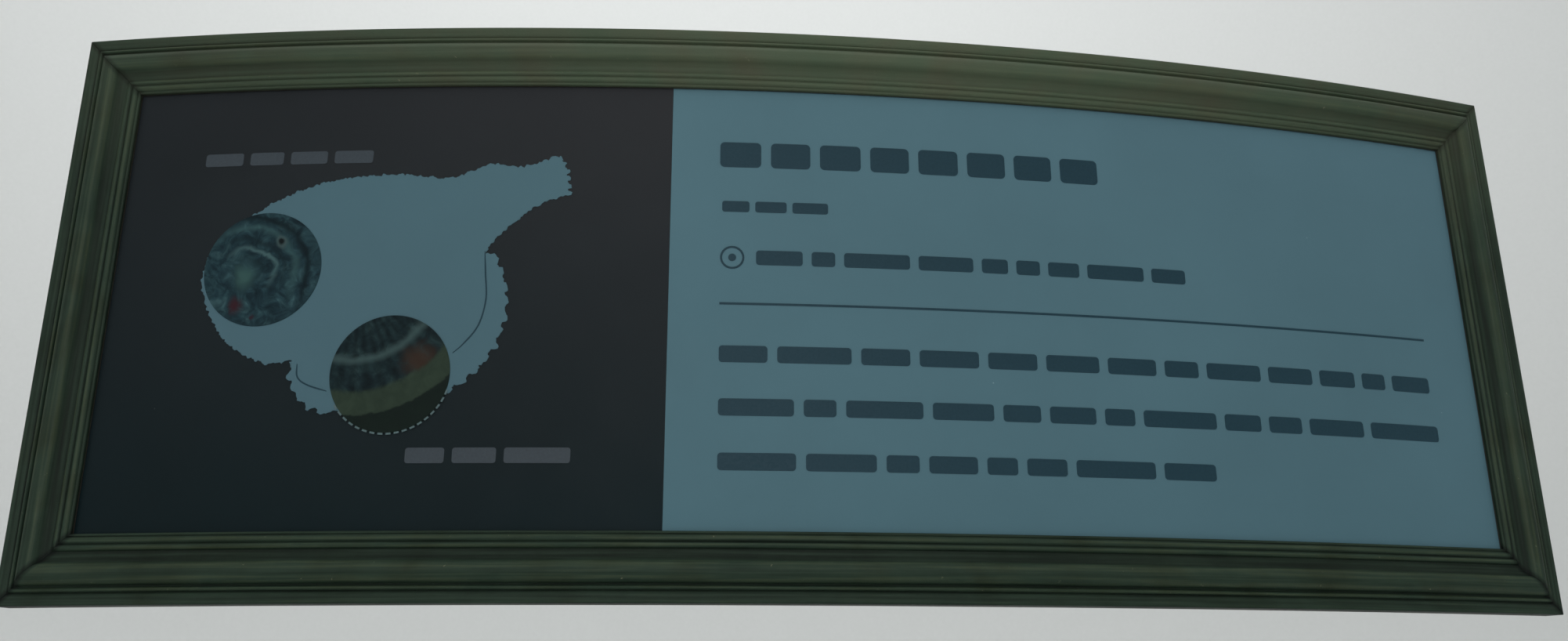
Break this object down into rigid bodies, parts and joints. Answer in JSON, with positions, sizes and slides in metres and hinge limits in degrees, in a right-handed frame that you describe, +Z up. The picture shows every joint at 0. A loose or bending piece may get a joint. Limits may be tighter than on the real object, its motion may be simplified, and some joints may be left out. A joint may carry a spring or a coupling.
{
  "type": "framed aquarium species label",
  "caption": "Framed species label bent to a round fish tank: moulded frame, dark field with a pale stonefish silhouette and round close-ups, and a pale text field whose lines of writing are plain bars.",
  "frame": {"origin": "the middle of the centre tape's back face, where the label is stuck to the tank wall", "axes": "+X along the label to the reader's right, +Y into the tank wall, +Z up"},
  "size_m": [0.2948, 0.0238, 0.111],
  "materials": {
    "frame": "antique olive paint, wiped back on the high lines",
    "dark_print": "matt print",
    "pale_print": "matt print",
    "fish_film": "matt film",
    "head_picture": "matt print",
    "fin_picture": "matt print",
    "ink": "matt ink",
    "board": "hardboard, mesh side out",
    "foam": "foam tape",
    "steel": "zinc plated"
  },
  "bodies": {
    "root": {"rail_top": "frame", "rail_bottom": "frame", "rail_left": "frame", "rail_right": "frame", "face_sheet_dark": "dark_print", "face_sheet_pale": "pale_print", "backing_board": "board", "fish_film": "fish_film", "inset_head": "head_picture", "inset_fin": "fin_picture", "tape_left": "foam", "tape_middle": "foam", "tape_right": "foam", "button_top_left": "steel", "button_top_right": "steel", "button_bottom_left": "steel", "button_bottom_right": "steel", "button_left": "steel", "button_right": "steel", "screw_top_left": "steel", "screw_top_right": "steel", "screw_bottom_left": "steel", "screw_bottom_right": "steel", "screw_left": "steel", "screw_right": "steel"}
  },
  "joints": []
}
